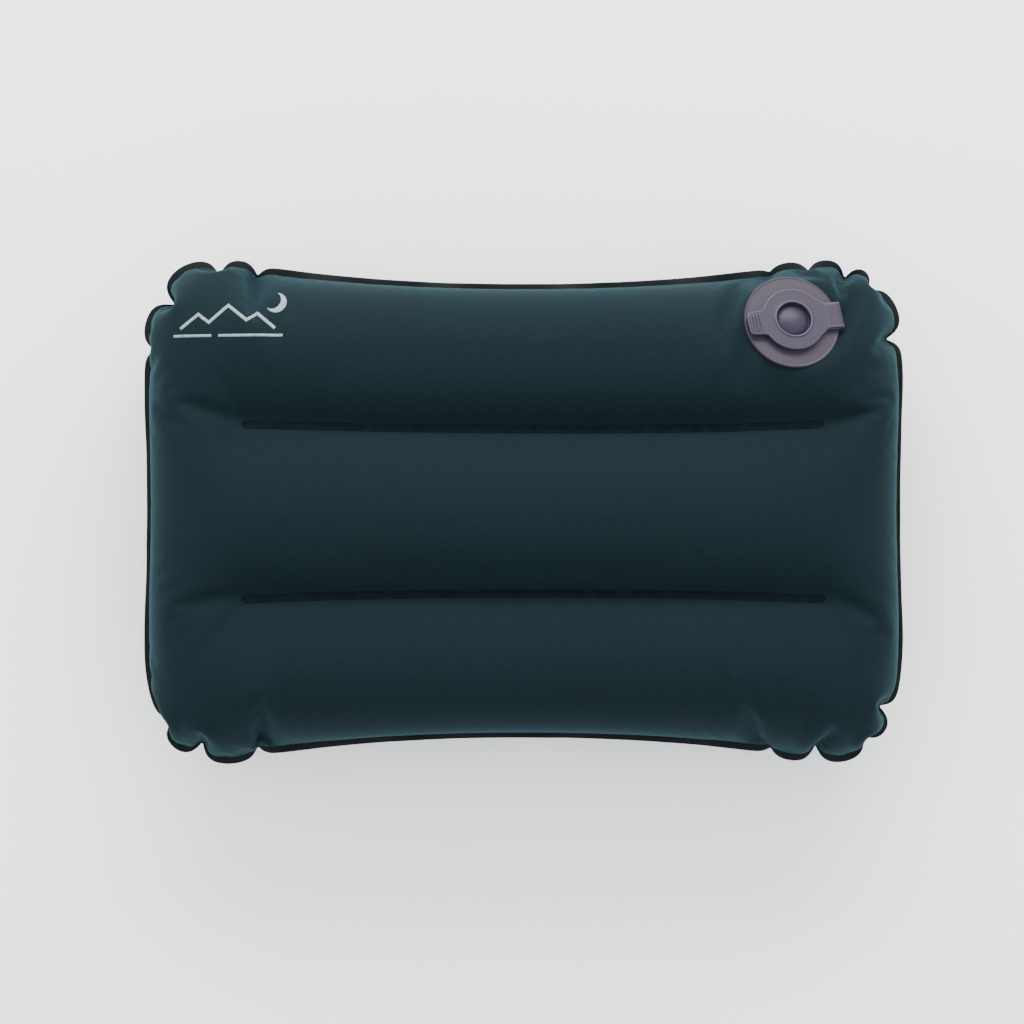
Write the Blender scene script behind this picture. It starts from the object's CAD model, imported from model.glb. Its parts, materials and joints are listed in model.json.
# An inflated cloth pillow: two sheets welded at the edge, two ribs inside and a capped valve.
# It lies flat on the floor with its front sheet up (+Z), long side along X, back sheet at Z = 0.
# Pieces are worked out in millimetres and built in metres.
import json
import math

import bmesh
import bpy
import numpy as np
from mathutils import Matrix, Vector
from mathutils.bvhtree import BVHTree
from mathutils.geometry import delaunay_2d_cdt


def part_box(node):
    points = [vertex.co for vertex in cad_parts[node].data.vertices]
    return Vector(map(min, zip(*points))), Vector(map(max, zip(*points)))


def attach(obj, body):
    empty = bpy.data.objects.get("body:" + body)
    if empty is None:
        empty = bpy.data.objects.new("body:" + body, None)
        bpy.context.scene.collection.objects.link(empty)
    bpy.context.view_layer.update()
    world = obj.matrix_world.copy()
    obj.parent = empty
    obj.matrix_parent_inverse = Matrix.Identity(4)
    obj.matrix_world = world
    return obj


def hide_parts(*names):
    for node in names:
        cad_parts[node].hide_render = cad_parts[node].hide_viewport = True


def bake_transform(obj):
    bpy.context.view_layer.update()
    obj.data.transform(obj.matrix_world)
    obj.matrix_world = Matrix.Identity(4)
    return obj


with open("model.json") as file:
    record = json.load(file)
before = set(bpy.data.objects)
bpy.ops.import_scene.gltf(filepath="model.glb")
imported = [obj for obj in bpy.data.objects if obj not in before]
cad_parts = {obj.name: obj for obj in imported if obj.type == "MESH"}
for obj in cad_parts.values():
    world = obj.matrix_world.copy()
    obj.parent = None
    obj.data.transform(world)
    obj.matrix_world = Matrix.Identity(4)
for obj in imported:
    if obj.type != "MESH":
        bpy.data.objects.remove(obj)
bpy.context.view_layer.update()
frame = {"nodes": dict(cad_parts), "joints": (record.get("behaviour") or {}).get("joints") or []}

MM = 0.001


def unit(vector):
    return vector / np.linalg.norm(vector)


def angle_of(vector):
    return math.atan2(vector[1], vector[0])


# =====================================================================
# Places taken from the frame (mm)
# =====================================================================
BAND_LO, BAND_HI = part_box("edge_weld_band")
PANEL_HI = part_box("front_panel")[1]
RIB_LO, RIB_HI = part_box("upper_rib")
SEAM = (BAND_LO.z + BAND_HI.z) / 2 / MM       # height of the edge weld
HALF_X = (BAND_HI.x - BAND_LO.x) / 2 / MM
HALF_Y = (BAND_HI.y - BAND_LO.y) / 2 / MM
RIM_W = (BAND_HI.x - PANEL_HI.x) / MM

# Valve axes: Z is the flap's axis, Y the cap's hinge axis, X runs from the centre to the hinge
JOINTS = {joint["name"]: joint for joint in frame["joints"]}
VALVE_Z = unit(np.array(JOINTS["flap_press"]["axis"], float))
VALVE_Y = unit(np.array(JOINTS["cap_hinge"]["axis"], float))
VALVE_X = np.cross(VALVE_Y, VALVE_Z)
HINGE = np.array(JOINTS["cap_hinge"]["pos_m"], float) / MM
FOLD_X, FOLD_Z = 23.4, 2.9                    # the hinge in valve coordinates
VALVE_CENTRE = HINGE - FOLD_X * VALVE_X - FOLD_Z * VALVE_Z


def to_world(points):
    """Valve coordinates in mm to world metres."""
    p = np.asarray(points, float)
    return (VALVE_CENTRE + p[..., :1] * VALVE_X + p[..., 1:2] * VALVE_Y
            + p[..., 2:3] * VALVE_Z) * MM


# =====================================================================
# Mesh helpers
# =====================================================================
def make_object(name, verts, faces, material, smooth=True, uv=None):
    mesh = bpy.data.meshes.new(name)
    mesh.from_pydata(np.asarray(verts, float).tolist(), [], [tuple(f) for f in faces])
    mesh.validate()
    mesh.update()
    ob = bpy.data.objects.new(name, mesh)
    bpy.context.scene.collection.objects.link(ob)
    mesh.materials.append(material)
    mesh.polygons.foreach_set("use_smooth", [smooth] * len(mesh.polygons))
    if uv is not None:
        layer = mesh.uv_layers.new(name="cloth")
        loops = np.zeros(len(mesh.loops), int)
        mesh.loops.foreach_get("vertex_index", loops)
        layer.data.foreach_set("uv", np.asarray(uv, float)[loops].ravel())
    return ob


def apply_modifiers(ob):
    depsgraph = bpy.context.evaluated_depsgraph_get()
    depsgraph.update()
    mesh = bpy.data.meshes.new_from_object(ob.evaluated_get(depsgraph),
                                           preserve_all_data_layers=True, depsgraph=depsgraph)
    old = ob.data
    ob.modifiers.clear()
    ob.data = mesh
    mesh.name = ob.name
    bpy.data.meshes.remove(old)


def grid_faces(rows, cols, wrap_rows=False, wrap_cols=False):
    faces = []
    for i in range(rows if wrap_rows else rows - 1):
        for j in range(cols if wrap_cols else cols - 1):
            here, above = i * cols, ((i + 1) % rows) * cols
            nxt = (j + 1) % cols
            faces.append((here + j, here + nxt, above + nxt, above + j))
    return faces


def fillet_profile(corners, seg):
    """Round the corners of a closed profile given as (r, z, fillet radius)."""
    n = len(corners)
    out = []
    for k, corner in enumerate(corners):
        p = np.array(corner[:2], float)
        fillet = corner[2]
        if fillet <= 0:
            out.append(tuple(p))
            continue
        back = np.array(corners[(k - 1) % n][:2], float) - p
        ahead = np.array(corners[(k + 1) % n][:2], float) - p
        back_len, ahead_len = np.linalg.norm(back), np.linalg.norm(ahead)
        back, ahead = back / back_len, ahead / ahead_len
        angle = math.acos(max(-1, min(1, float(back @ ahead))))
        trim = min(fillet / math.tan(angle / 2), back_len * 0.48, ahead_len * 0.48)
        radius = trim * math.tan(angle / 2)
        centre = p + unit(back + ahead) * (radius / math.sin(angle / 2))
        start = angle_of(p + back * trim - centre)
        end = angle_of(p + ahead * trim - centre)
        turn = (end - start + math.pi) % (2 * math.pi) - math.pi
        for q in range(seg + 1):
            a = start + turn * q / seg
            out.append((centre[0] + radius * math.cos(a), centre[1] + radius * math.sin(a)))
    return out


def densify(profile, step):
    """Split a closed profile's sides so that none is longer than step."""
    out = []
    for k, point in enumerate(profile):
        a, b = np.array(point), np.array(profile[(k + 1) % len(profile)])
        parts = max(1, int(math.ceil(np.linalg.norm(b - a) / step)))
        out += [tuple(a + (b - a) * q / parts) for q in range(parts)]
    return out


def fix_normals(ob):
    bm = bmesh.new()
    bm.from_mesh(ob.data)
    bmesh.ops.recalc_face_normals(bm, faces=bm.faces)
    bm.to_mesh(ob.data)
    bm.free()
    ob.data.update()


def weight_normals(ob):
    modifier = ob.modifiers.new("wn", "WEIGHTED_NORMAL")
    modifier.mode = "FACE_AREA"
    modifier.weight = 60
    apply_modifiers(ob)


def add_wear(ob, least=0.25, full=0.9):
    """Per-vertex amount of convex edge, from the angle (radians) between its faces."""
    bm = bmesh.new()
    bm.from_mesh(ob.data)
    bm.normal_update()
    wear = np.zeros(len(bm.verts))
    for edge in bm.edges:
        if len(edge.link_faces) == 2:
            angle = edge.calc_face_angle_signed(0.0)
            if angle > least:
                for v in edge.verts:
                    wear[v.index] = max(wear[v.index], min(1.0, angle / full))
    bm.free()
    ob.data.attributes.new("wear", "FLOAT", "POINT").data.foreach_set("value", wear)


# =====================================================================
# Materials (lengths in metres, noise scales per metre)
# =====================================================================
def srgb(*rgb):
    """Linear RGBA from 0-255 sRGB."""
    def linear(v):
        v /= 255.0
        return v / 12.92 if v <= 0.04045 else ((v + 0.055) / 1.055) ** 2.4
    return tuple(linear(v) for v in rgb) + (1.0,)


def grey(level):
    return (level, level, level, 1)


class Shader:
    """A node material built round one Principled BSDF."""

    def __init__(self, name):
        self.mat = bpy.data.materials.new(name)
        self.mat.use_nodes = True
        self.tree = self.mat.node_tree
        self.tree.nodes.clear()
        out = self.add("ShaderNodeOutputMaterial")
        self.bsdf = self.add("ShaderNodeBsdfPrincipled")
        self.feed(out.inputs[0], self.bsdf.outputs[0])

    def add(self, kind, **settings):
        node = self.tree.nodes.new(kind)
        for key, value in settings.items():
            setattr(node, key, value)
        return node

    def feed(self, socket, value):
        """Link an output to the socket, or give it a plain value."""
        if isinstance(value, bpy.types.NodeSocket):
            self.tree.links.new(value, socket)
        else:
            socket.default_value = value

    def set(self, key, value):
        self.feed(self.bsdf.inputs[key], value)

    def coords(self):
        return self.add("ShaderNodeTexCoord").outputs["Object"]

    def split(self, vector):
        node = self.add("ShaderNodeSeparateXYZ")
        self.feed(node.inputs[0], vector)
        return node.outputs

    def math(self, op, *values):
        node = self.add("ShaderNodeMath", operation=op)
        for socket, value in zip(node.inputs, values):
            self.feed(socket, value)
        return node.outputs[0]

    def vary(self, value, middle, spread):
        """Stretch a 0-1 value over spread, centred on middle."""
        return self.math("ADD", self.math("MULTIPLY", value, spread), middle - spread / 2)

    def noise(self, vector, scale, detail):
        node = self.add("ShaderNodeTexNoise")
        node.inputs["Scale"].default_value = scale
        node.inputs["Detail"].default_value = detail
        self.feed(node.inputs["Vector"], vector)
        return node.outputs["Fac"]

    def ramp(self, value, *stops):
        """Colour ramp of two (position, colour) stops."""
        node = self.add("ShaderNodeValToRGB")
        for element, (position, colour) in zip(node.color_ramp.elements, stops):
            element.position = position
            element.color = colour
        self.feed(node.inputs[0], value)
        return node.outputs[0]

    def mix(self, amount, a, b, blend="MIX"):
        node = self.add("ShaderNodeMix", data_type="RGBA", blend_type=blend)
        for index, value in ((0, amount), (6, a), (7, b)):    # 6 and 7 are the colours
            self.feed(node.inputs[index], value)
        return node.outputs[2]

    def bump(self, height, strength, distance, base=None):
        node = self.add("ShaderNodeBump")
        node.inputs["Strength"].default_value = strength
        node.inputs["Distance"].default_value = distance
        self.feed(node.inputs["Height"], height)
        if base is not None:
            self.feed(node.inputs["Normal"], base)
        return node.outputs[0]


def weave(shader, uv, pitch):
    """Plain weave height from cloth coordinates in metres."""
    across = shader.split(uv)
    k = 2 * math.pi / pitch
    sin_x = shader.math("SINE", shader.math("MULTIPLY", across[0], k))
    sin_y = shader.math("SINE", shader.math("MULTIPLY", across[1], k))
    # the product's sign says which thread is on top
    check = shader.math("MULTIPLY", sin_x, sin_y)
    abs_x = shader.math("ABSOLUTE", sin_x)
    abs_y = shader.math("ABSOLUTE", sin_y)
    threads = shader.math("MAXIMUM", abs_x, abs_y)
    return shader.math("ADD", shader.math("MULTIPLY", check, 0.5),
                       shader.math("MULTIPLY", threads, 0.5))


def fabric_material(name, base, dark, light):
    s = Shader(name)
    uv = s.add("ShaderNodeUVMap", uv_map="cloth")
    place = s.coords()
    height = weave(s, uv.outputs[0], pitch=0.00085)
    fine = s.noise(place, scale=900.0, detail=2.0)
    cloud = s.noise(place, scale=14.0, detail=3.0)
    speck = s.noise(place, scale=380.0, detail=2.0)
    colour = s.mix(s.math("MULTIPLY", cloud, 0.55), base, dark)
    colour = s.mix(s.math("MULTIPLY", speck, 0.28), colour, light)
    thread = s.ramp(height, (0.0, grey(0.86)), (1.0, grey(1.06)))
    s.set("Base Color", s.mix(0.8, colour, thread, blend="MULTIPLY"))
    s.set("Roughness", s.vary(fine, middle=0.80, spread=0.12))
    threads = s.bump(height, strength=0.34, distance=0.00012)
    s.set("Normal", s.bump(s.noise(place, scale=120.0, detail=4.0),
                           strength=0.10, distance=0.0004, base=threads))
    s.set("Sheen Weight", 0.11)
    s.set("Sheen Roughness", 0.42)
    s.set("Sheen Tint", srgb(90, 190, 212))
    s.set("Specular IOR Level", 0.06)
    return s.mat


def rim_material(hatch=6200.0):
    """Dark mottled weld with a fine diagonal hatch (radians per metre)."""
    s = Shader("rim_weld")
    place = s.coords()
    mottle = s.noise(place, scale=160.0, detail=4.0)
    s.set("Base Color", s.ramp(mottle, (0.25, srgb(5, 9, 10)), (0.75, srgb(12, 19, 20))))
    s.set("Roughness", s.vary(mottle, middle=0.6, spread=0.2))
    x, y, _ = s.split(place)
    rising, falling = (s.math("SINE", s.math("MULTIPLY", s.math(op, x, y), hatch))
                       for op in ("ADD", "SUBTRACT"))
    s.set("Normal", s.bump(s.math("MULTIPLY", rising, falling), strength=0.25, distance=0.00008,
                           base=s.bump(mottle, strength=0.2, distance=0.0003)))
    s.set("Specular IOR Level", 0.10)
    return s.mat


def strip_material():
    s = Shader("pressed_weld")
    mottle = s.noise(s.coords(), scale=220.0, detail=3.0)
    s.set("Base Color", s.ramp(mottle, (0.2, srgb(7, 14, 17)), (0.8, srgb(12, 21, 25))))
    s.set("Roughness", 0.85)
    s.set("Specular IOR Level", 0.03)
    s.set("Normal", s.bump(mottle, strength=0.35, distance=0.0003))
    return s.mat


def plastic_material(name, base, dark, light, rough, scatter=0.08):
    s = Shader(name)
    place = s.coords()
    cloud = s.noise(place, scale=70.0, detail=3.0)
    fine = s.noise(place, scale=2400.0, detail=2.0)
    colour = s.mix(s.math("MULTIPLY", cloud, 0.5), base, dark)
    # edges and ridges are rubbed a little lighter
    wear = s.add("ShaderNodeAttribute", attribute_name="wear").outputs["Fac"]
    rubbed = s.add("ShaderNodeSeparateColor")
    s.feed(rubbed.inputs[0], s.ramp(wear, (0.10, grey(0)), (0.80, grey(1))))
    s.set("Base Color", s.mix(s.math("MULTIPLY", rubbed.outputs[0], 0.55), colour, light))
    s.set("Roughness", s.vary(fine, middle=rough, spread=0.14))
    s.set("Normal", s.bump(fine, strength=0.10, distance=0.00008,
                           base=s.bump(s.noise(place, scale=300.0, detail=3.0),
                                       strength=0.08, distance=0.0002)))
    s.set("Subsurface Weight", scatter)
    s.set("Subsurface Radius", (0.0012, 0.0009, 0.0012))
    s.set("Specular IOR Level", 0.22)
    return s.mat


def print_material():
    s = Shader("printed_mark")
    grain = s.noise(s.coords(), scale=700.0, detail=3.0)
    s.set("Base Color", s.ramp(grain, (0.30, srgb(88, 103, 107)), (0.62, srgb(118, 132, 136))))
    s.set("Roughness", 0.6)
    s.set("Normal", s.bump(grain, strength=0.15, distance=0.0001))
    return s.mat


def floor_material():
    s = Shader("floor")
    patches = s.noise(s.coords(), scale=3.0, detail=2.0)
    s.set("Base Color", s.ramp(patches, (0.3, grey(0.955)), (0.7, grey(0.97))))
    s.set("Roughness", 0.9)
    s.set("Specular IOR Level", 0.1)
    return s.mat


MAT_FRONT = fabric_material("shell_fabric_front", base=srgb(11, 23, 27), dark=srgb(8, 18, 21),
                            light=srgb(19, 35, 40))
MAT_BACK = fabric_material("shell_fabric_back", base=srgb(11, 22, 26), dark=srgb(8, 17, 20),
                           light=srgb(18, 34, 38))
MAT_RIM = rim_material()
MAT_STRIP = strip_material()
MAT_VALVE = plastic_material("valve_plastic", base=srgb(45, 38, 49), dark=srgb(38, 33, 43),
                             light=srgb(92, 84, 100), rough=0.5)
MAT_LID = plastic_material("valve_lid", base=srgb(38, 31, 47), dark=srgb(32, 27, 41),
                           light=srgb(90, 81, 104), rough=0.46)
MAT_SEAT = plastic_material("valve_inner", base=srgb(120, 114, 132), dark=srgb(108, 102, 120),
                            light=srgb(150, 145, 160), rough=0.42)
MAT_FLAP = plastic_material("valve_rubber", base=srgb(66, 62, 72), dark=srgb(54, 50, 60),
                            light=srgb(88, 84, 94), rough=0.6, scatter=0.0)
MAT_RIB = plastic_material("rib_film", base=srgb(40, 52, 56), dark=srgb(34, 44, 48),
                           light=srgb(60, 74, 78), rough=0.5, scatter=0.0)
MAT_PRINT = print_material()

# =====================================================================
# The weld line in plan: the outer wall of the CAD's edge band moved in by
# the rim, with gathers where the rim is pinched between two lobes
# =====================================================================
# (x side, y side, edge, fraction of that half side, strength, sign of the height kick)
# "end" edges run along Y at the X ends, "side" edges along X at the Y sides
GATHERS = [
    (-1, 1, "end", 0.65, 0.6, 1), (-1, 1, "end", 0.85, 1.0, -1), (-1, 1, "side", 0.80, 0.8, 1),
    (-1, 1, "side", 0.70, 0.6, -1),
    (1, 1, "end", 0.70, 0.9, -1), (1, 1, "end", 0.90, 0.8, 1), (1, 1, "side", 0.85, 0.8, -1),
    (1, 1, "side", 0.75, 0.4, 1), (1, 1, "side", 0.65, 0.2, -1),
    (-1, -1, "end", 0.85, 1.0, 1), (-1, -1, "side", 0.85, 0.9, -1), (-1, -1, "side", 0.70, 0.6, 1),
    (1, -1, "end", 0.80, 0.9, -1), (1, -1, "side", 0.90, 0.8, 1), (1, -1, "side", 0.77, 0.8, -1),
    (1, -1, "side", 0.65, 0.4, 1)]
RIM_DIP, WELD_DIP, KICK = 7.2, 4.6, 2.2     # depth and height at a gather of strength 1
LOBE, LOBE_GAP = 2.5, 48                    # bulge between gathers closer than the gap
RAYS = 2880
LINE_POINTS = 6000


def run_lengths(loop):
    """Length along a closed loop at each point, and its whole length at the end."""
    sides = np.linalg.norm(np.roll(loop, -1, 0) - loop, axis=1)
    return np.concatenate([[0], np.cumsum(sides)])


def sample(loop, lengths, s):
    s = np.mod(s, lengths[-1])
    columns = [np.interp(s, lengths, np.append(loop[:, k], loop[0, k]))
               for k in range(loop.shape[1])]
    return np.stack(columns, -1)


def plan_normals(loop, reach):
    """Outward normals of an anticlockwise loop, over reach points each way."""
    along = np.roll(loop, -reach, 0) - np.roll(loop, reach, 0)
    normals = np.stack([along[:, 1], -along[:, 0]], 1)
    return normals / np.linalg.norm(normals, axis=1)[:, None]


def base_line():
    """Outer wall of the band by rays at the weld's height, smoothed, then in by the rim."""
    band = BVHTree.FromObject(frame["nodes"]["edge_weld_band"],
                              bpy.context.evaluated_depsgraph_get())
    ring = []
    for k in range(RAYS):
        a = 2 * math.pi * k / RAYS
        out = Vector((math.cos(a), math.sin(a), 0.0))
        hit = band.ray_cast(out * 0.6 + Vector((0, 0, SEAM * MM)), -out)[0]
        if hit is not None:
            ring.append((hit.x / MM, hit.y / MM))
    ring = np.array(ring)
    lengths = run_lengths(ring)
    n = int(lengths[-1] / 0.5)
    line = sample(ring, lengths, np.arange(n) * lengths[-1] / n)
    kernel = np.exp(-(np.arange(-14, 15) / 7.0) ** 2 / 2)
    kernel /= kernel.sum()
    line = sum(w * np.roll(line, j, 0) for w, j in zip(kernel, range(-14, 15)))
    return line - plan_normals(line, 8) * (RIM_W - 0.9)


def gather_place(side_x, side_y, edge, fraction):
    """Arc length at which the outline crosses a fraction of the half side."""
    x, y = BASE[:, 0], BASE[:, 1]
    if edge == "end":
        miss = np.abs(y - side_y * fraction * HALF_Y) + np.where(np.abs(x) < 0.86 * HALF_X, 1e3, 0)
    else:
        miss = np.abs(x - side_x * fraction * HALF_X) + np.where(np.abs(y) < 0.6 * HALF_Y, 1e3, 0)
    quadrant = (x * side_x > 0) & (y * side_y > 0)
    return BASE_RUN[int(np.argmin(np.where(quadrant, miss, 1e6)))]


def gather_shapes():
    """Dips of the rim and weld, height kick and lobes along the line."""
    rim_dip, weld_dip, kick, lobe = np.zeros((4, LINE_POINTS))
    gathers = sorted((gather_place(side_x, side_y, edge, fraction), strength, sign)
                     for side_x, side_y, edge, fraction, strength, sign in GATHERS)
    for place, strength, sign in gathers:
        width = 2.7 + 0.5 * strength
        away = np.abs((LINE_RUN - place + BASE_LEN / 2) % BASE_LEN - BASE_LEN / 2)
        rim_dip += RIM_DIP * strength * np.exp(-(away / width) ** 1.25)
        weld_dip += WELD_DIP * strength * np.exp(-(away / (width * 0.85)) ** 1.5)
        kick += sign * KICK * np.exp(-(away / (width * 1.3)) ** 2)
    for k, (start, _, _) in enumerate(gathers):
        gap = (gathers[(k + 1) % len(gathers)][0] - start) % BASE_LEN
        if gap < LOBE_GAP:
            t = ((LINE_RUN - start) % BASE_LEN) / gap
            m = (t > 0) & (t < 1)
            lobe[m] += LOBE * min(1.4, gap / 24.0) * np.sin(np.pi * t[m]) ** 0.8
    return rim_dip, weld_dip, kick, lobe


BASE = base_line()
BASE_RUN = run_lengths(BASE)
BASE_LEN = BASE_RUN[-1]
LINE_RUN = np.arange(LINE_POINTS) * BASE_LEN / LINE_POINTS
LINE = sample(BASE, BASE_RUN, LINE_RUN)
LINE_OUT = sample(plan_normals(BASE, 3), BASE_RUN, LINE_RUN)
LINE_OUT /= np.linalg.norm(LINE_OUT, axis=1)[:, None]
DIP_RIM, DIP_WELD, LIFT, LOBES = gather_shapes()
WELD = LINE + LINE_OUT * (LOBES - DIP_WELD)[:, None]
WELD_RUN = run_lengths(WELD)
RIM_OUT = LINE + LINE_OUT * (RIM_W - 1.0 + LOBES - DIP_RIM * 1.05)[:, None]

# =====================================================================
# Cloth: two flat sheets with a shared edge, blown up, with ribs inside.
# Position-based dynamics on the flat pattern; lengths in mm.
# =====================================================================
# The flat pattern is larger than the inflated pillow by these factors
FLAT_X, FLAT_Y, FLAT_CORNER = HALF_X * 1.095, HALF_Y * 1.169, 58.0
FLAT_VALVE = VALVE_CENTRE[:2] * np.array([1.021, 1.080])
SPACING = 4.2             # between points of the sheet
EDGE_STEP = 3.5           # between points of its edge
STEPS = 1500
RIB_Y = (RIB_LO.y + RIB_HI.y) / 2 / MM * 1.093
RIB_HALF_W = 2.2                            # half width of a rib's weld
RIB_OFFSETS = (-RIB_HALF_W, 0.0, RIB_HALF_W)
RIB_X0, RIB_X1 = RIB_LO.x / MM / 1.01, RIB_HI.x / MM / 1.01
RIB_HALF_H = (RIB_HI.z - RIB_LO.z) / 2 / MM - 0.5
PRESSURE = 0.003
BEND = 0.06                                 # stiffness against folding
MAX_SPEED = 0.8                             # mm per step
STIFF_R = 24.6                              # patch held flat under the valve's disc
HOLE_R = 12.7                               # hole in the front sheet for the neck


def flat_loop():
    """Rounded rectangle of the flat weld line, anticlockwise from +X."""
    pts = []
    a, b, r = FLAT_X, FLAT_Y, FLAT_CORNER
    u, v = a - r, b - r

    def line(p, q):
        n = max(1, int(round(math.dist(p, q) / EDGE_STEP)))
        for i in range(n):
            t = i / n
            pts.append((p[0] + (q[0] - p[0]) * t, p[1] + (q[1] - p[1]) * t))

    def arc(x, y, start):
        n = int(round(math.pi / 2 * r / EDGE_STEP))
        for i in range(n):
            t = math.radians(start + 90.0 * i / n)
            pts.append((x + r * math.cos(t), y + r * math.sin(t)))

    line((a, 0), (a, v))
    arc(u, v, 0)
    line((u, b), (0, b))
    line((0, b), (-u, b))
    arc(-u, v, 90)
    line((-a, v), (-a, 0))
    line((-a, 0), (-a, -v))
    arc(-u, -v, 180)
    line((-u, -b), (0, -b))
    line((0, -b), (u, -b))
    arc(u, -v, 270)
    line((a, -v), (a, 0))
    return np.array(pts)


def depth_in(points):
    """Distance inside the flat weld line."""
    r = FLAT_CORNER
    q = np.abs(points) - np.array([FLAT_X - r, FLAT_Y - r])
    return -(np.linalg.norm(np.maximum(q, 0), axis=1)
             + np.minimum(np.maximum(q[:, 0], q[:, 1]), 0) - r)


def nearest(points, x, y):
    return int(np.argmin((points[:, 0] - x) ** 2 + (points[:, 1] - y) ** 2))


def seam_targets(loop):
    """Where each vertex of the flat weld line ends up on the inflated one."""
    flat_run = run_lengths(loop)
    whole = WELD_RUN[-1]
    start = WELD_RUN[nearest(WELD, HALF_X, 0)]

    def weld_place(x, y):
        return (WELD_RUN[nearest(WELD, x, y)] - start) % whole

    # the middles of the four edges correspond
    flat_keys = [0.0] + [flat_run[nearest(loop, *q)]
                         for q in ((0, FLAT_Y), (-FLAT_X, 0), (0, -FLAT_Y))] + [flat_run[-1]]
    weld_keys = [0.0] + [weld_place(*q)
                         for q in ((0, HALF_Y), (-HALF_X, 0), (0, -HALF_Y))] + [whole]
    # up to these fractions of the half sizes the edge keeps nearly its flat length
    flat_more, weld_more = [], []
    for side_x in (1, -1):
        for side_y in (1, -1):
            for part_x, part_y in ((0.97, 0.64), (0.63, 0.95)):
                place = weld_place(side_x * part_x * HALF_X, side_y * part_y * HALF_Y)
                j = int(np.argmin([abs(place - key) for key in weld_keys]))
                weld_more.append(place)
                flat_more.append(flat_keys[j] + (place - weld_keys[j]) * 1.004)
    flat_at = np.array(flat_keys + flat_more)
    weld_at = np.array(weld_keys + weld_more)
    order = np.argsort(flat_at)
    s = np.interp(flat_run[:-1], flat_at[order], weld_at[order]) + start
    xy = sample(WELD, WELD_RUN, s)
    z = np.interp(np.mod(s, whole), WELD_RUN[:-1], LIFT)
    return np.concatenate([xy, (SEAM + z)[:, None]], 1)


def flat_pattern():
    """Flat points (edge first), triangles, their mean area, edge count and rib rows."""
    loop = flat_loop()
    edge_count = count = len(loop)
    parts = [loop]
    spans = int((RIB_X1 - RIB_X0) / (SPACING + 0.2))
    xs = np.linspace(RIB_X0, RIB_X1, spans + 1)
    rib_rows = {}
    for side in (1, -1):
        for offset in RIB_OFFSETS:
            rib_rows[side, offset] = np.arange(count, count + spans + 1)
            count += spans + 1
            parts.append(np.stack([xs, np.full_like(xs, side * RIB_Y + offset)], 1))
    # equilateral grid in the rest of the sheet
    grid = []
    rows = int(2 * FLAT_Y / (SPACING * 0.866)) + 2
    cols = int(FLAT_X / SPACING)
    for j in range(-rows // 2, rows // 2 + 1):
        shift = SPACING / 2 if j % 2 else 0.0
        for i in range(-cols - 2, cols + 3):
            grid.append((i * SPACING + shift, j * SPACING * 0.866))
    grid = np.array(grid)
    grid = grid[depth_in(grid) > SPACING * 0.62]
    for side in (1, -1):
        on_rib = ((np.abs(grid[:, 1] - side * RIB_Y) < RIB_HALF_W + SPACING * 0.55)
                  & (grid[:, 0] > RIB_X0 - SPACING * 0.5) & (grid[:, 0] < RIB_X1 + SPACING * 0.5))
        grid = grid[~on_rib]
    parts.append(grid)
    given = np.concatenate(parts)
    edges = [(i, (i + 1) % edge_count) for i in range(edge_count)]
    result = delaunay_2d_cdt([Vector(p) for p in given.tolist()], edges, [], 1, 1e-4)
    points = np.array([[v.x, v.y] for v in result[0]])
    if len(points) != len(given):
        raise RuntimeError("the flat pattern's points moved")
    tris = np.array([t for t in result[2] if len(t) == 3])
    a, b, c = (points[tris[:, k]] for k in range(3))
    area = ((b - a)[:, 0] * (c - a)[:, 1] - (b - a)[:, 1] * (c - a)[:, 0]) / 2
    flip = area < 0
    tris[flip] = tris[flip][:, [0, 2, 1]]
    area = np.abs(area)
    real = area > 0.01
    return points, tris[real], area[real].mean(), edge_count, rib_rows


def edge_pairs(tris, total):
    """Edges, and for each inner edge the two vertices opposite it."""
    ends = np.concatenate([tris[:, [0, 1]], tris[:, [1, 2]], tris[:, [2, 0]]])
    opposite = np.concatenate([tris[:, 2], tris[:, 0], tris[:, 1]])
    ends = np.sort(ends, 1)
    key = ends[:, 0] * total + ends[:, 1]
    order = np.argsort(key, kind="stable")
    key, ends, opposite = key[order], ends[order], opposite[order]
    first = np.append(True, key[1:] != key[:-1])
    same = np.where(key[1:] == key[:-1])[0]
    return ends[first], np.stack([opposite[same], opposite[same + 1]], 1)


def batches(pairs, flat):
    """Pairs and rest lengths in batches in which no vertex comes twice."""
    rest = np.linalg.norm(flat[pairs[:, 0]] - flat[pairs[:, 1]], axis=1)
    used = [0] * len(flat)
    groups = {}
    for i, (p, q) in enumerate(pairs.tolist()):
        taken = used[p] | used[q]
        group = 0
        while taken >> group & 1:
            group += 1
        used[p] |= 1 << group
        used[q] |= 1 << group
        groups.setdefault(group, []).append(i)
    return [(pairs[members, 0], pairs[members, 1], rest[members])
            for _, members in sorted(groups.items())]


def vertex_triangles(tris, total):
    """Triangles round each vertex, padded with an index one past the last."""
    most = int(np.bincount(tris.ravel(), minlength=total).max())
    table = np.full((total, most), len(tris))
    fill = np.zeros(total, int)
    for index, tri in enumerate(tris.tolist()):
        for v in tri:
            table[v, fill[v]] = index
            fill[v] += 1
    return table


def restore(pos, groups, stiffness, push_only=False):
    """Move the ends of each pair towards its rest length."""
    for i, j, rest in groups:
        apart = pos[i] - pos[j]
        length = np.sqrt((apart * apart).sum(1)) + 1e-9
        error = length - rest
        if push_only:
            error = np.minimum(error, 0)
        shift = (stiffness * 0.5 * error / length)[:, None] * apart
        pos[i] -= shift
        pos[j] += shift


def polar(loop):
    """Angles and radii of a loop, sorted by angle."""
    angle = np.arctan2(loop[:, 1], loop[:, 0])
    order = np.argsort(angle)
    return angle[order], np.hypot(loop[order, 0], loop[order, 1])


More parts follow.
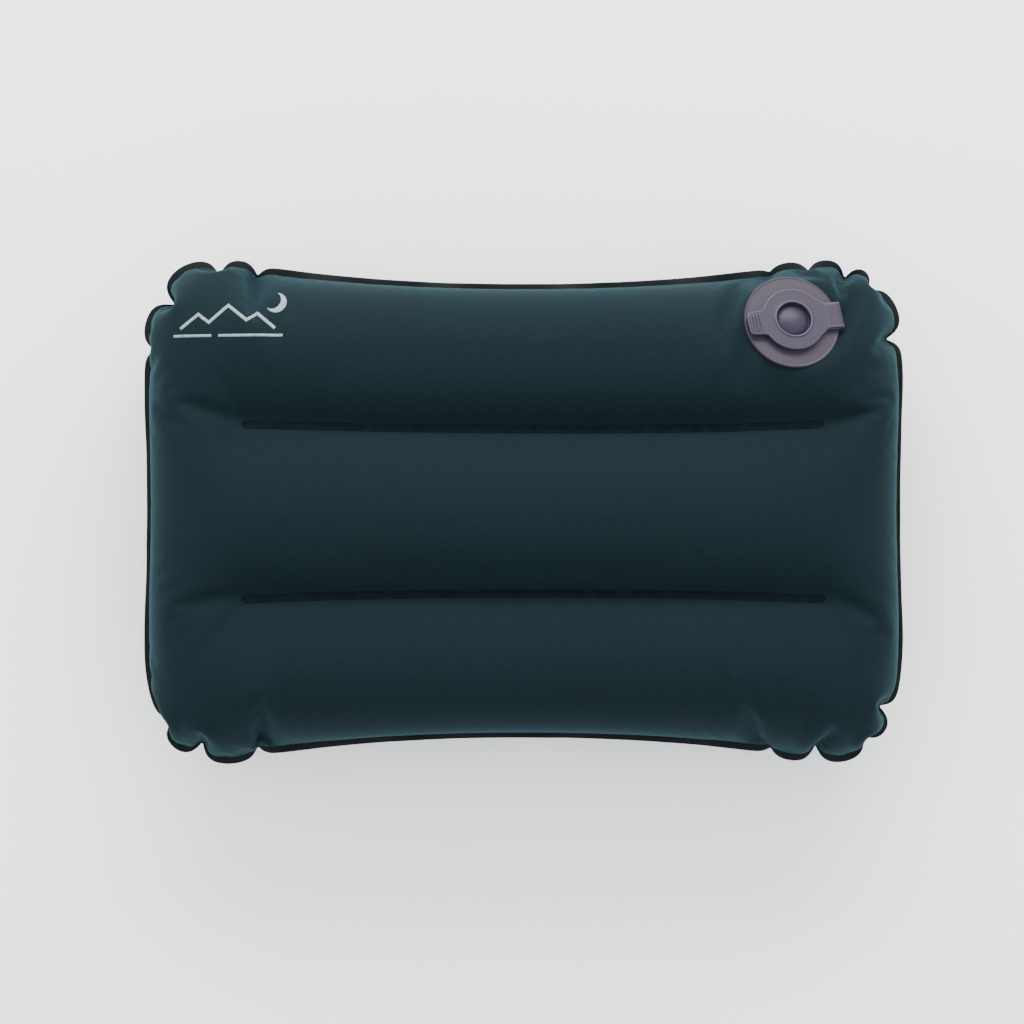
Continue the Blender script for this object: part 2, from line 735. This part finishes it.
def keep_inside(pos, near, weld_polar, line_polar):
    """Draw the vertices near the edge back within the outline."""
    q = pos[near]
    angle = np.arctan2(q[:, 1], q[:, 0])
    radius = np.hypot(q[:, 0], q[:, 1])
    weld = np.interp(angle, *weld_polar, period=2 * math.pi)
    line = np.interp(angle, *line_polar, period=2 * math.pi)
    limit = line + (weld - line) * np.exp(-np.abs(q[:, 2] - SEAM) / 60.0)
    over = np.maximum(radius - limit, 0)
    pos[near, :2] -= q[:, :2] * (0.5 * over / radius)[:, None]


def valve_patch():
    """Front vertices under the valve's disc and their places in the valve's plane."""
    angle = -math.atan2(VALVE_X[1], VALVE_X[0])
    offset = POINTS - FLAT_VALVE
    patch = np.where(np.linalg.norm(offset, axis=1) < STIFF_R)[0]
    turned = offset[patch] @ np.array([[math.cos(angle), math.sin(angle)],
                                       [-math.sin(angle), math.cos(angle)]])
    return patch, VALVE_CENTRE + turned[:, :1] * VALVE_X + turned[:, 1:] * VALVE_Y


def inflate():
    """Vertex places of the blown-up cloth, in mm."""
    tris = np.concatenate([FRONT_TRIS, BACK_TRIS])
    front_edges, front_bends = edge_pairs(FRONT_TRIS, TOTAL)
    back_edges, back_bends = edge_pairs(BACK_TRIS, TOTAL)
    edges = batches(np.unique(np.concatenate([front_edges, back_edges]), axis=0), FLAT)
    bends = batches(np.concatenate([front_bends, back_bends]), FLAT)
    around = vertex_triangles(tris, TOTAL)
    depth = depth_in(FLAT)

    pos = np.zeros((TOTAL, 3))
    pos[:, :2] = FLAT
    pos[:, 2] = SEAM
    lift = np.minimum(6.0, np.maximum(0, depth) * 0.35)
    inner_back = BACK_OF[EDGE_COUNT:]
    pos[:FRONT_COUNT, 2] += lift[:FRONT_COUNT]
    pos[inner_back, 2] -= lift[inner_back]
    pos += np.random.RandomState(3).normal(0, 0.02, pos.shape)
    before = pos.copy()

    rib_front = np.concatenate(list(RIB_ROWS.values()))
    rib_back = BACK_OF[rib_front]
    patch, patch_target = valve_patch()
    seam_start = pos[:EDGE_COUNT].copy()
    seam_end = seam_targets(POINTS_EDGE)
    near = np.where(depth < 60.0)[0]
    near = near[near >= EDGE_COUNT]
    weld_polar, line_polar = polar(WELD), polar(LINE)

    for step in range(STEPS):
        phase = step / STEPS
        if step % 3 == 0:
            corner = pos[tris[:, 0]]
            push = np.cross(pos[tris[:, 1]] - corner, pos[tris[:, 2]] - corner) / 2
            push = np.concatenate([push, np.zeros((1, 3))])
            force = push[around].sum(1) / 3 * (min(1.0, 0.15 + phase * 3) * PRESSURE / MEAN_AREA)
        velocity = (pos - before) * (0.995 if phase < 0.6 else 0.98)
        speed = np.sqrt((velocity * velocity).sum(1))
        fast = speed > MAX_SPEED
        velocity[fast] *= (MAX_SPEED / speed[fast])[:, None]
        before = pos.copy()
        pos = pos + velocity + force
        restore(pos, edges, 1.0)
        if step % 2 == 0:
            restore(pos, bends, BEND, push_only=True)
        # the ribs hold the sheets together
        apart = pos[rib_front] - pos[rib_back]
        length = np.linalg.norm(apart, axis=1)
        share = np.maximum(length - 2 * RIB_HALF_H, 0) / (length + 1e-9) * 0.5
        pos[rib_front] -= apart * share[:, None]
        pos[rib_back] += apart * share[:, None]
        # the seam moves smoothly to the inflated weld line
        ease = min(1.0, phase / 0.35)
        ease = ease * ease * (3 - 2 * ease)
        pos[:EDGE_COUNT] += (((seam_start * (1 - ease) + seam_end * ease) - pos[:EDGE_COUNT])
                             * np.array([1.0, 1.0, 0.5]))
        if phase > 0.35 and step % 2 == 0:
            keep_inside(pos, near, weld_polar, line_polar)
        pos[patch] += (patch_target - pos[patch]) * min(1.0, phase / 0.5) ** 2
        pos[:, 2] = np.maximum(pos[:, 2], 0.0)
    return pos


POINTS, FRONT_TRIS, MEAN_AREA, EDGE_COUNT, RIB_ROWS = flat_pattern()
POINTS_EDGE = flat_loop()
FRONT_COUNT = len(POINTS)
TOTAL = 2 * FRONT_COUNT - EDGE_COUNT
# the back sheet's vertex for each of the front's; they share the edge
BACK_OF = np.arange(FRONT_COUNT)
BACK_OF[EDGE_COUNT:] += FRONT_COUNT - EDGE_COUNT
BACK_TRIS = BACK_OF[FRONT_TRIS][:, [0, 2, 1]]
FLAT = np.zeros((TOTAL, 2))
FLAT[:FRONT_COUNT] = POINTS
FLAT[BACK_OF] = POINTS
CLOTH = inflate()


# =====================================================================
# Front and back panels
# =====================================================================
def panel(name, tris, material):
    """The panel, and a search tree of its surface before it has a thickness."""
    used = np.unique(tris)
    remap = np.full(TOTAL, -1)
    remap[used] = np.arange(len(used))
    ob = make_object(name, CLOTH[used] * MM, remap[tris].tolist(), material, uv=FLAT[used] * MM)
    subdivide = ob.modifiers.new("sub", "SUBSURF")
    subdivide.levels = subdivide.render_levels = 1
    subdivide.boundary_smooth = "PRESERVE_CORNERS"
    apply_modifiers(ob)
    surface = BVHTree.FromObject(ob, bpy.context.evaluated_depsgraph_get())
    wall = ob.modifiers.new("wall", "SOLIDIFY")
    wall.thickness = 0.00045
    wall.offset = -1.0
    wall.use_rim = True
    apply_modifiers(ob)
    ob.data.polygons.foreach_set("use_smooth", [True] * len(ob.data.polygons))
    return ob, surface


to_valve = np.linalg.norm(FLAT[FRONT_TRIS] - FLAT_VALVE, axis=2).min(1)
front, front_surface = panel("front_panel_cloth", FRONT_TRIS[to_valve > HOLE_R], MAT_FRONT)
back, back_surface = panel("back_panel_cloth", BACK_TRIS, MAT_BACK)

# =====================================================================
# Welded rim: flat double margin, pinched to nothing at each gather
# =====================================================================
# (fraction of the way from the weld line out, half thickness)
RIM_STATIONS = [(0.0, 0.42), (0.2, 0.42), (0.42, 0.42), (0.62, 0.42), (0.8, 0.42),
                (0.91, 0.40), (0.97, 0.30), (1.0, 0.12)]


def rim_piece():
    pick = np.arange(0, LINE_POINTS, 4)
    inner = WELD[pick] - LINE_OUT[pick] * 1.1
    outer = RIM_OUT[pick]
    lift = LIFT[pick]
    s = LINE_RUN[pick]
    wave = 0.45 * np.sin(s / 9.3) + 0.35 * np.sin(s / 5.1 + 1.3)
    z_in = SEAM + lift
    z_out = SEAM + lift * 0.5 + wave - 0.35
    rows = []
    for side, stations in ((1, RIM_STATIONS), (-1, RIM_STATIONS[::-1])):
        for t, half in stations:
            xy = inner * (1 - t) + outer * t
            z = z_in * (1 - t) + z_out * t + side * half
            rows.append(np.concatenate([xy, z[:, None]], 1))
    faces = grid_faces(len(rows), len(pick), wrap_rows=True, wrap_cols=True)
    ob = make_object("edge_weld_rim", np.concatenate(rows) * MM, faces, MAT_RIM)
    fix_normals(ob)
    return ob


rim = rim_piece()

# =====================================================================
# Pressed weld strips over the ribs, and the ribs themselves
# =====================================================================
STRIP_ACROSS = (-1.0, -0.92, -0.5, 0.0, 0.5, 0.92, 1.0)    # fractions of the half width
STRIP_END = 2.4                                           # length of its rounded end


def strip_on(surface, rows, up, name):
    """Thin ribbon lying on the sheet along a rib's three rows of vertices."""
    spans = len(rows[0]) - 1
    stations = np.linspace(0, spans, spans * 2 + 1)
    low_side, middle, high_side = (
        np.stack([np.interp(stations, np.arange(spans + 1), CLOTH[row][:, k])
                  for k in range(3)], 1) for row in rows)
    m = len(middle)
    top, bottom = [], []
    for i in range(m):
        from_end = min(i, m - 1 - i) * 2.1
        width = 1.0
        if from_end <= STRIP_END:
            width = max(0.35, math.sqrt(max(0.0, 1 - (1 - from_end / STRIP_END) ** 2)))
        for a in STRIP_ACROSS:
            t = a * width
            p = (middle[i] + (high_side[i] - middle[i]) * max(t, 0)
                 + (low_side[i] - middle[i]) * max(-t, 0))
            place, normal = surface.find_nearest(Vector(p * MM))[:2]
            if normal.z * up < 0:
                normal = -normal
            lift = 0.00014 if abs(a) < 0.95 else 0.00004
            top.append(tuple(place + normal * lift))
            bottom.append(tuple(place - normal * 0.00016))
    cols = len(STRIP_ACROSS)
    off = m * cols
    grid = grid_faces(m, cols)
    flipped = [f[::-1] for f in grid]
    upper, lower = (grid, flipped) if up > 0 else (flipped, grid)
    faces = upper + [tuple(off + i for i in f) for f in lower]
    walls = [(i * cols + j, (i + 1) * cols + j) for i in range(m - 1) for j in (0, cols - 1)]
    walls += [(i * cols + j, i * cols + j + 1) for i in (0, m - 1) for j in range(cols - 1)]
    faces += [(a, b, off + b, off + a) for a, b in walls]
    ob = make_object(name, top + bottom, faces, MAT_STRIP)
    fix_normals(ob)
    return ob


def rib_piece(side, name, gap=0.85, levels=9):
    """Web from sheet to sheet with its margins turned over."""
    centre = RIB_ROWS[side, 0.0]
    margin = RIB_ROWS[side, side * RIB_HALF_W]
    tops, bottoms = CLOTH[centre], CLOTH[BACK_OF[centre]]
    top_margins, bottom_margins = CLOTH[margin], CLOTH[BACK_OF[margin]]
    verts = []
    for i, (top, bottom) in enumerate(zip(tops, bottoms)):
        up = unit(top - bottom)
        verts += [top + (top_margins[i] - top) * t - up * gap for t in (0.95, 0.2)]
        for k in range(levels):
            t = k / (levels - 1)
            p = top * (1 - t) + bottom * t
            p = p - up * (gap + 0.3) * (1 - t) + up * (gap + 0.3) * t
            ripple = 0.35 * math.sin(i * 0.55 + 0.7) * math.sin(math.pi * t)
            verts.append(p + np.array([0, ripple, 0]))
        verts += [bottom + (bottom_margins[i] - bottom) * t + up * gap for t in (0.2, 0.95)]
    ob = make_object(name, np.array(verts) * MM, grid_faces(len(tops), levels + 4), MAT_RIB)
    wall = ob.modifiers.new("wall", "SOLIDIFY")
    wall.thickness = 0.0003
    wall.offset = 0.0
    apply_modifiers(ob)
    return ob


strips = []
for rib_side, tag in ((1, "upper"), (-1, "lower")):
    front_rows = [RIB_ROWS[rib_side, offset] for offset in RIB_OFFSETS]
    back_rows = [BACK_OF[row] for row in front_rows]
    strips.append(strip_on(front_surface, front_rows, 1, tag + "_weld_strip_front"))
    strips.append(strip_on(back_surface, back_rows, -1, tag + "_weld_strip_back"))
ribs = [rib_piece(1, "upper_rib_web"), rib_piece(-1, "lower_rib_web")]

# =====================================================================
# Valve base: weld disc with a beaded edge, and the neck
# =====================================================================
BORE, NECK, DISC = 10.4, 12.5, 24.2
# (radius, z, fillet)
BASE_PROFILE = [
    (BORE, -8.0, 0.25), (NECK, -8.0, 0.25), (NECK, -0.15, 0.0), (DISC - 0.2, -0.15, 0.1),
    (DISC + 0.05, 0.12, 0.12), (DISC + 0.02, 0.82, 0.22), (DISC - 0.42, 1.18, 0.25),
    (DISC - 1.0, 1.02, 0.2), (DISC - 1.3, 0.98, 0.15), (NECK + 1.0, 1.22, 0.8),
    (NECK, 2.0, 0.6), (NECK, 3.35, 0.3), (BORE + 0.15, 3.35, 0.4)]


def base_piece(seg=192):
    profile = densify(fillet_profile(BASE_PROFILE, seg=5), 1.3)
    turns = [2 * math.pi * k / seg for k in range(seg)]
    verts = [(r * math.cos(t), r * math.sin(t), z) for r, z in profile for t in turns]
    faces = grid_faces(len(profile), seg, wrap_rows=True, wrap_cols=True)
    ob = make_object("valve_base_disc", to_world(verts), faces, MAT_VALVE)
    fix_normals(ob)
    return ob


base = base_piece()

# =====================================================================
# Lid: ring, recess with a dome, ribbed pull tab, flare into the strap
# =====================================================================
LID_R = 16.0
TAB_X, TAB_HALF, TIP_HALF = 23.3, 6.1, 4.9      # tab's reach, half width and tip
STRAP_X, STRAP_HALF = 17.6, 6.6                 # where the plate meets the strap
FLARE_ANGLE, TAB_ANGLE = math.radians(54), math.radians(152)   # ends of the ring's arc
LID_LOW, LID_TOP = 3.42, 4.8                    # faces of the plate
PLATE = LID_TOP - 0.02                          # top face inside its raised edge
LID_COLS = 320
OUTLINE_SAMPLES = 6000
DOME_R, DOME_FOOT, DOME_TOP, DOME_RINGS = 8.12, 2.30, 4.60, 12
HOLLOW_TOP = 3.3                                # middle of the hollow under the dome
BAR_X, BAR_PITCH, BAR_W = -TAB_X + 0.75, 1.62, 0.78
BAR_LOW, BAR_TOP = 4.55, 5.32

# (radius, z) of circles on the underside, from the hollow out round the plug
LID_UNDERSIDE = [
    (1.6, 3.22), (3.4, 2.85), (5.0, 2.1), (6.0, 1.0), (6.55, -0.5), (6.7, -1.3), (6.95, -1.5),
    (9.6, -1.5), (9.93, -1.2), (10.05, 0.0), (10.2, 2.0), (10.3, LID_LOW - 0.15),
    (10.6, LID_LOW), (12.8, LID_LOW)]
# (inset from the outline, z) round the plate's edge, from below
LID_EDGE = [
    (0.45, LID_LOW), (0.12, LID_LOW + 0.06), (0.0, LID_LOW + 0.25), (0.0, LID_TOP - 0.42),
    (0.10, LID_TOP - 0.16), (0.32, LID_TOP - 0.02), (0.62, LID_TOP), (0.9, PLATE)]
# (radius, z) of circles over the bead and down the recess to the dome's foot
LID_RECESS = [
    (10.4, PLATE), (10.0, PLATE), (9.75, LID_TOP + 0.22), (9.5, LID_TOP + 0.40),
    (9.2, LID_TOP + 0.43), (8.95, LID_TOP + 0.33), (8.8, LID_TOP + 0.05),
    (8.76, LID_TOP - 0.8), (8.72, 3.1), (8.66, 2.4), (8.56, 2.12), (8.40, 2.05), (8.24, 2.15)]


def bezier(p0, p1, p2, n):
    return [tuple((1 - t) ** 2 * np.array(p0) + 2 * t * (1 - t) * np.array(p1)
                  + t * t * np.array(p2)) for t in np.linspace(0, 1, n, endpoint=False)]


def lid_outline():
    """Outer edge of the lid plate, anticlockwise from the middle of the strap end."""
    def on_ring(a):
        return LID_R * math.cos(a), LID_R * math.sin(a)

    # a concave flare from the strap into the ring, bent where the ring's
    # tangent meets the strap's edge line
    ring_start = on_ring(FLARE_ANGLE)
    run = (ring_start[1] - STRAP_HALF) / math.cos(FLARE_ANGLE)
    bend_x = ring_start[0] + math.sin(FLARE_ANGLE) * run
    half = [(STRAP_X, 0.0), (STRAP_X, STRAP_HALF * 0.5), (STRAP_X, STRAP_HALF - 0.02)]
    half += bezier((STRAP_X, STRAP_HALF), (bend_x * 0.90, STRAP_HALF + 0.15), ring_start, 22)
    half += [on_ring(FLARE_ANGLE + (TAB_ANGLE - FLARE_ANGLE) * i / 60) for i in range(60)]
    # tab: short concave flare, straight side, rounded tip
    ring_end = on_ring(TAB_ANGLE)
    half += bezier(ring_end, (ring_end[0] * 1.03, TAB_HALF + 0.1), (-TAB_X + 5.2, TAB_HALF), 14)
    half += [(-TAB_X + 5.2, TAB_HALF), (-TAB_X + 3.4, TAB_HALF - 0.05)]
    half += bezier((-TAB_X + 2.8, TAB_HALF - 0.1), (-TAB_X + 0.2, TAB_HALF - 0.5),
                   (-TAB_X + 0.05, TIP_HALF - 1.0), 9)
    half += [(-TAB_X, TIP_HALF - 2.0), (-TAB_X - 0.1, 0.0)]
    loop = np.array(half + [(x, -y) for x, y in half[1:-1]][::-1])
    # columns spaced half by length, half by angle, so none of them bunch
    n = OUTLINE_SAMPLES
    lengths = run_lengths(loop)
    fine = sample(loop, lengths, np.arange(n) * lengths[-1] / n)
    angle = np.unwrap(np.arctan2(fine[:, 1], fine[:, 0]))
    spread = 0.5 * np.arange(n) / n + 0.5 * (angle - angle[0]) / (2 * math.pi)
    spread = np.maximum.accumulate(spread)
    pick = np.interp(np.arange(LID_COLS) / LID_COLS, spread, np.arange(n))
    return fine[np.round(pick).astype(int) % n]


OUTLINE = lid_outline()
OUTLINE_NORMALS = plan_normals(OUTLINE, 1)
LID_ANGLES = 2 * math.pi * np.arange(LID_COLS) / LID_COLS


def lid_inset(d):
    """The outline moved in by d, mitred at the strap end's square corners."""
    x, y = OUTLINE[:, 0], OUTLINE[:, 1]
    w = np.clip((x - STRAP_X + 2.2) / 2.2, 0, 1)
    normal_x = OUTLINE_NORMALS[:, 0] * (1 - w) + w
    normal_y = OUTLINE_NORMALS[:, 1] * (1 - w) + np.sign(y) * w
    p = np.stack([x - d * normal_x, y - d * normal_y], 1)
    end = x > STRAP_X - 0.01
    p[end] = np.stack([x[end] - d, y[end] * (1 - d / STRAP_HALF)], 1)
    return p


def circle(r):
    return np.stack([r * np.cos(LID_ANGLES), r * np.sin(LID_ANGLES)], 1)


def lid_body():
    def blend(t, r):
        """Between the outline inset by 0.9 and a circle."""
        return lid_inset(0.9) * (1 - t) + circle(r) * t

    rings = [(circle(r), z) for r, z in LID_UNDERSIDE]
    rings.append((blend(0.3, 12.8), LID_LOW))
    rings += [(lid_inset(d), z) for d, z in LID_EDGE]
    rings += [(blend(t, 10.6), PLATE) for t in (0.35, 0.7)]
    rings += [(circle(r), z) for r, z in LID_RECESS]
    rise = DOME_TOP - DOME_FOOT
    sphere = (DOME_R ** 2 + rise ** 2) / (2 * rise)
    for k in range(DOME_RINGS):
        r = DOME_R * (1 - k / DOME_RINGS)
        rings.append((circle(r), DOME_TOP - sphere + math.sqrt(sphere * sphere - r * r)))
    verts = np.concatenate([np.concatenate([xy, np.full((LID_COLS, 1), z)], 1)
                            for xy, z in rings] + [[[0, 0, HOLLOW_TOP], [0, 0, DOME_TOP]]])
    faces = grid_faces(len(rings), LID_COLS, wrap_cols=True)
    middle = len(rings) * LID_COLS
    last = middle - LID_COLS
    for k in range(LID_COLS):
        k2 = (k + 1) % LID_COLS
        faces.append((k2, k, middle))
        faces.append((last + k, last + k2, middle + 1))
    return verts.tolist(), faces


def bar(x0, x1, half):
    """Rounded bar across the tab, as a closed loft along Y."""
    profile = fillet_profile([(x0, BAR_LOW, 0.0), (x1, BAR_LOW, 0.0),
                              (x1, BAR_TOP, 0.22), (x0, BAR_TOP, 0.22)], seg=4)
    ys = ([-half, -half + 0.12, -half + 0.4] + list(np.linspace(-half + 0.4, half - 0.4, 7)[1:-1])
          + [half - 0.4, half - 0.12, half])
    scales = [0.55, 0.9] + [1.0] * 7 + [0.9, 0.55]
    middle = (x0 + x1) / 2
    verts = [[middle + (x - middle) * scale, y, BAR_LOW + (z - BAR_LOW) * scale]
             for y, scale in zip(ys, scales) for x, z in profile]
    m = len(profile)
    faces = grid_faces(len(ys), m, wrap_cols=True)
    faces.append(tuple(range(m))[::-1])
    faces.append(tuple((len(ys) - 1) * m + k for k in range(m)))
    return verts, faces


def lid_piece():
    verts, faces = lid_body()
    for k in range(4):
        x0 = BAR_X + BAR_PITCH * k
        bar_verts, bar_faces = bar(x0, x0 + BAR_W, 4.1 + 0.25 * k)
        off = len(verts)
        verts += bar_verts
        faces += [tuple(off + i for i in f) for f in bar_faces]
    ob = make_object("valve_lid", to_world(verts), faces, MAT_LID)
    fix_normals(ob)
    return ob


lid = lid_piece()

# =====================================================================
# Strap: foot on the disc, fold, upper leg running into the lid
# =====================================================================
FOOT_X, FOOT_Z = 17.2, 1.74
LEG_X, LEG_Z = 15.2, 4.1
FOLD_RX, FOLD_RZ = 1.75, 1.18               # half axes of the fold's middle line
STRAP_THICK, STRAP_ROUND = 0.5, 0.32        # half thickness, edge rounding


def strap_section(half, thick):
    """(y, height off the middle line) across one face of the strap."""
    r = STRAP_ROUND
    ys = ([-half, -half + 0.1, -half + r] + list(np.linspace(-half + r, half - r, 9)[1:-1])
          + [half - r, half - 0.1, half])
    heights = [thick - r, thick - 0.1] + [thick] * 9 + [thick - 0.1, thick - r]
    return [(y, max(0.05, h)) for y, h in zip(ys, heights)]


def strap_piece():
    # (x, z, normal towards the inside of the fold) along the middle line
    path = [(x, FOOT_Z, (0, 1)) for x in np.linspace(FOOT_X, FOLD_X, 7, endpoint=False)]
    for k in range(15):
        a = math.radians(-90 + 180 * k / 14)
        path.append((FOLD_X + FOLD_RX * math.cos(a), FOLD_Z + FOLD_RZ * math.sin(a),
                     (-math.cos(a), -math.sin(a))))
    path += [(x, LEG_Z, (0, -1)) for x in np.linspace(FOLD_X, LEG_X, 9)[1:]]
    n = len(path)
    verts = []
    for i, (x, z, normal) in enumerate(path):
        half = STRAP_HALF + 0.15 * math.sin(math.pi * min(1.0, i / (n - 1) * 1.3))
        thick = STRAP_THICK
        if i == 0:
            thick, half = 0.2, half - 0.3
        section = strap_section(half, thick)
        verts += [(x + normal[0] * h, y, z + normal[1] * h) for y, h in section]
        verts += [(x - normal[0] * h, y, z - normal[1] * h) for y, h in section[::-1]]
    m = len(verts) // n
    faces = grid_faces(n, m, wrap_cols=True)
    for k in range(m // 2 - 1):
        cap = (k, k + 1, m - 2 - k, m - 1 - k)
        faces.append(cap[::-1])
        faces.append(tuple((n - 1) * m + j for j in cap))
    ob = make_object("tether_strap_fold", to_world(verts), faces, MAT_LID)
    fix_normals(ob)
    return ob


strap = strap_piece()

# =====================================================================
# Printed mark: a crescent moon over a ridge line, lying on the front sheet
# =====================================================================
MARK_ORIGIN = np.array([-HALF_X + 23.0, HALF_Y * 0.715])
MARK_STEP = 0.8                             # mesh spacing of the print
# (points, width) of each stroke, from the mark's origin
MARK_STROKES = [
    ([(0, 0), (9, 7.2), (14.5, 3.0), (24, 11.6), (33.5, 4.0), (38.5, 7.6), (47.5, 0)], 1.5),
    ([(-3.5, -3.6), (16, -3.6)], 1.3),
    ([(19.5, -3.6), (51.5, -3.6)], 1.3)]
MOON_CENTRE, MOON_R = np.array([47.5, 13.2]), 5.2
MOON_BITE = np.array([-2.3, 1.3])           # from the centre to that of the inner curve


def stroke(points, width):
    """Outline of a mitred stroke."""
    pts = [np.array(p, float) for p in points]
    left, right = [], []
    for i, p in enumerate(pts):
        reach = width / 2
        if i == 0:
            along = unit(pts[1] - p)
        elif i == len(pts) - 1:
            along = unit(p - pts[-2])
        else:
            before = unit(p - pts[i - 1])
            along = unit(before + unit(pts[i + 1] - p))
        normal = np.array([-along[1], along[0]])
        if 0 < i < len(pts) - 1:
            reach /= max(0.45, float(np.dot(normal, [-before[1], before[0]])))
        left.append(p + normal * reach)
        right.append(p - normal * reach)
    return left + right[::-1]


def crescent():
    outer = []
    for k in range(40):
        a = math.radians(-118 + 236 * k / 39) - math.radians(30)
        outer.append(MOON_CENTRE + MOON_R * np.array([math.cos(a), math.sin(a)]))
    # back along an inner curve from the last point to the first
    centre = MOON_CENTRE + MOON_BITE
    first, last = outer[0] - centre, outer[-1] - centre
    a0, a1 = angle_of(first), angle_of(last)
    while a1 < a0:
        a1 += 2 * math.pi
    r0, r1 = np.linalg.norm(first), np.linalg.norm(last)
    inner = []
    for k in range(1, 29):
        t = k / 29
        a = a1 + (a0 - a1) * t
        inner.append(centre + (r1 + (r0 - r1) * t) * np.array([math.cos(a), math.sin(a)]))
    return outer + inner


def inside(poly, x, y):
    odd = False
    for (x0, y0), (x1, y1) in zip(poly, np.roll(poly, -1, 0)):
        if (y0 > y) != (y1 > y) and x < (x1 - x0) * (y - y0) / (y1 - y0) + x0:
            odd = not odd
    return odd


def fill(poly):
    """Points and faces of a triangulated polygon with short edges."""
    edge = []
    for i, p in enumerate(poly):
        q = poly[(i + 1) % len(poly)]
        parts = max(1, int(np.linalg.norm(q - p) / MARK_STEP))
        edge += [p + (q - p) * k / parts for k in range(parts)]
    edge = np.array(edge)
    low, high = edge.min(0), edge.max(0)
    grid = [(x, y) for x in np.arange(low[0], high[0], MARK_STEP)
            for y in np.arange(low[1], high[1], MARK_STEP)]
    inner = [p for p in grid if inside(edge, *p)
             and np.min(np.linalg.norm(edge - np.array(p), axis=1)) > 0.35]
    points = [Vector(p) for p in edge.tolist()] + [Vector(p) for p in inner]
    n = len(edge)
    result = delaunay_2d_cdt(points, [(i, (i + 1) % n) for i in range(n)],
                             [list(range(n))], 1, 1e-5)
    return [MARK_ORIGIN + np.array([v.x, v.y]) for v in result[0]], result[2]


def signed_area(p):
    return 0.5 * sum(p[i][0] * p[(i + 1) % len(p)][1] - p[(i + 1) % len(p)][0] * p[i][1]
                     for i in range(len(p)))


def mark_piece():
    verts, faces = [], []
    for poly in [stroke(*entry) for entry in MARK_STROKES] + [crescent()]:
        points, tris = fill(poly)
        off = len(verts)
        verts += points
        faces += [tuple(off + i for i in f) for f in tris]
    top, bottom = [], []
    for x, y in verts:
        place, normal = front_surface.ray_cast(Vector((x * MM, y * MM, 0.2)),
                                               Vector((0, 0, -1)))[:2]
        if normal.z < 0:
            normal = -normal
        top.append(tuple(place + normal * 0.00016))
        bottom.append(tuple(place - normal * 0.00006))
    off = len(top)
    faces = [f[::-1] if signed_area([verts[i] for i in f]) < 0 else f for f in faces]
    # edges used in one direction only get a side wall
    edges = dict.fromkeys((f[i], f[(i + 1) % len(f)]) for f in faces for i in range(len(f)))
    walls = [(b, a, off + a, off + b) for a, b in edges if (b, a) not in edges]
    under = [tuple(off + i for i in f[::-1]) for f in faces]
    ob = make_object("printed_mark", top + bottom, faces + under + walls, MAT_PRINT)
    fix_normals(ob)
    return ob


mark = mark_piece()
for piece in [base, lid, strap] + ribs:
    add_wear(piece)
for piece in (base, lid, strap):
    weight_normals(piece)

# =====================================================================
# What rides on what
# =====================================================================
for piece in [front, back, rim] + strips + ribs + [mark, base]:
    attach(piece, "pillow")
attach(lid, "cap")
# the strap's foot stays on the disc, its upper leg turns with the lid
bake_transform(strap)

for piece, part in ((front, "front_panel"), (back, "back_panel"), (rim, "edge_weld_band"),
                    (ribs[0], "upper_rib"), (ribs[1], "lower_rib"), (base, "valve_base"),
                    (lid, "valve_cap"), (strap, "tether_strap")):
    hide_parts(part)

for node, material in (("check_seat", MAT_SEAT), ("check_flap", MAT_FLAP)):
    materials = frame["nodes"][node].data.materials
    materials.clear()
    materials.append(material)

# =====================================================================
# Floor, light, camera (metres)
# =====================================================================
FLOOR_HALF, FLOOR_Z = 6, -0.0004
floor = make_object("floor", [(x * FLOOR_HALF, y * FLOOR_HALF, FLOOR_Z)
                              for x, y in ((-1, -1), (1, -1), (1, 1), (-1, 1))],
                    [(0, 1, 2, 3)], floor_material(), smooth=False)

world = bpy.data.worlds.new("studio")
bpy.context.scene.world = world
world.use_nodes = True
background = world.node_tree.nodes["Background"]
background.inputs["Color"].default_value = (0.95, 0.97, 1.0, 1)
background.inputs["Strength"].default_value = 2.1


def area_light(name, location, target, size, energy, color):
    light = bpy.data.lights.new(name, "AREA")
    light.shape = "RECTANGLE"
    light.size, light.size_y = size
    light.energy = energy
    light.color = color
    ob = bpy.data.objects.new(name, light)
    ob.location = location
    aim = Vector(target) - Vector(location)
    ob.rotation_euler = aim.to_track_quat("-Z", "Y").to_euler()
    bpy.context.scene.collection.objects.link(ob)


area_light("key_from_far_side", location=(0.05, 1.25, 0.80), target=(0, 0.02, 0.03),
           size=(1.6, 0.5), energy=50.0, color=(1.0, 0.99, 0.97))
area_light("fill_left", location=(-1.3, 0.3, 0.9), target=(0, 0, 0.03),
           size=(0.8, 0.8), energy=4.0, color=(0.95, 0.98, 1.0))
area_light("fill_right", location=(1.3, -0.2, 1.0), target=(0, 0, 0.03),
           size=(0.8, 0.8), energy=2.0, color=(0.95, 0.98, 1.0))

# the camera looks straight down
camera = bpy.data.cameras.new("camera")
camera.lens = 85
camera.sensor_width = 36
camera.clip_end = 20
camera_ob = bpy.data.objects.new("camera", camera)
camera_ob.location = (-0.0059, -0.0006, SEAM * MM + 1.233)
bpy.context.scene.collection.objects.link(camera_ob)
bpy.context.scene.camera = camera_ob
